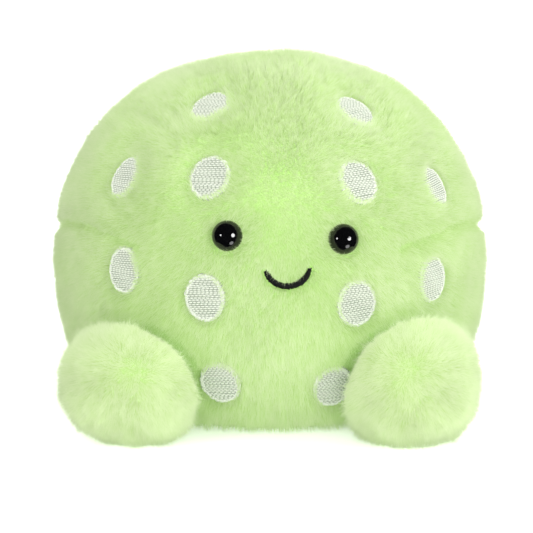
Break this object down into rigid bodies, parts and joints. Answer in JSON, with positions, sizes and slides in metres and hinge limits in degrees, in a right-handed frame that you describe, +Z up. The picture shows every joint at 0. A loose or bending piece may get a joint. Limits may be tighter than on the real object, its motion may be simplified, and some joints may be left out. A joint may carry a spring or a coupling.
{
  "type": "plush pickleball toy",
  "caption": "Stuffed plush ball with embroidered oval holes, bead eyes, a stitched smile and two round feet that flex at their seams.",
  "frame": {"origin": "middle of the flat base of the ball, on the floor", "axes": "+Z up through the ball's crown; the face looks along -Y; +X is the toy's left side"},
  "size_m": [0.138, 0.1494, 0.1085],
  "materials": {
    "ball_plush": "short dense pile",
    "foot_plush": "fluffy pile, longer than the ball's",
    "white_embroidery": "filled rows of thread with a satin border",
    "black_embroidery": "satin stitch",
    "eye_plastic": "polished",
    "washer_plastic": "moulded",
    "seam_thread": "twisted thread",
    "backing_sheet": "non-woven sheet",
    "stuffing_fibre": "polyester fibre filling",
    "bag_cloth": "plain weave",
    "pellet_plastic": "moulded"
  },
  "bodies": {
    "ball": {"face_panel": "ball_plush", "back_panel_left": "ball_plush", "back_panel_right": "ball_plush", "base_panel": "ball_plush", "side_seam_thread": "seam_thread", "back_seam_thread": "seam_thread", "base_seam_thread": "seam_thread", "closing_stitches": "seam_thread", "spot_01": "white_embroidery", "spot_02": "white_embroidery", "spot_03": "white_embroidery", "spot_04": "white_embroidery", "spot_05": "white_embroidery", "spot_06": "white_embroidery", "spot_07": "white_embroidery", "spot_08": "white_embroidery", "spot_09": "white_embroidery", "spot_10": "white_embroidery", "spot_11": "white_embroidery", "spot_12": "white_embroidery", "spot_13": "white_embroidery", "spot_14": "white_embroidery", "spot_15": "white_embroidery", "spot_16": "white_embroidery", "spot_17": "white_embroidery", "spot_18": "white_embroidery", "spot_19": "white_embroidery", "spot_20": "white_embroidery", "spot_21": "white_embroidery", "spot_22": "white_embroidery", "spot_23": "white_embroidery", "spot_24": "white_embroidery", "smile_stitching": "black_embroidery", "embroidery_backing": "backing_sheet", "eye_left": "eye_plastic", "eye_right": "eye_plastic", "eye_washer_left": "washer_plastic", "eye_washer_right": "washer_plastic", "body_stuffing": "stuffing_fibre", "pellet_bag": "bag_cloth", "pellets": "pellet_plastic", "foot_stitching_left": "seam_thread", "foot_stitching_right": "seam_thread"},
    "foot_left": {"foot_cover_left": "foot_plush", "foot_sole_left": "foot_plush", "foot_stuffing_left": "stuffing_fibre"},
    "foot_right": {"foot_cover_right": "foot_plush", "foot_sole_right": "foot_plush", "foot_stuffing_right": "stuffing_fibre"}
  },
  "joints": [
    {"name": "foot_left_flex", "type": "hinge", "parent": "ball", "child": "foot_left", "pos_m": [0.04029, -0.05754, 0.03254], "axis": [-0.8192, -0.5736, 0], "range_deg": [0, 25], "stiffness_Nm_per_rad": 0.02},
    {"name": "foot_right_flex", "type": "hinge", "parent": "ball", "child": "foot_right", "pos_m": [-0.04029, -0.05754, 0.03254], "axis": [-0.8192, 0.5736, 0], "range_deg": [0, 25], "stiffness_Nm_per_rad": 0.02}
  ]
}
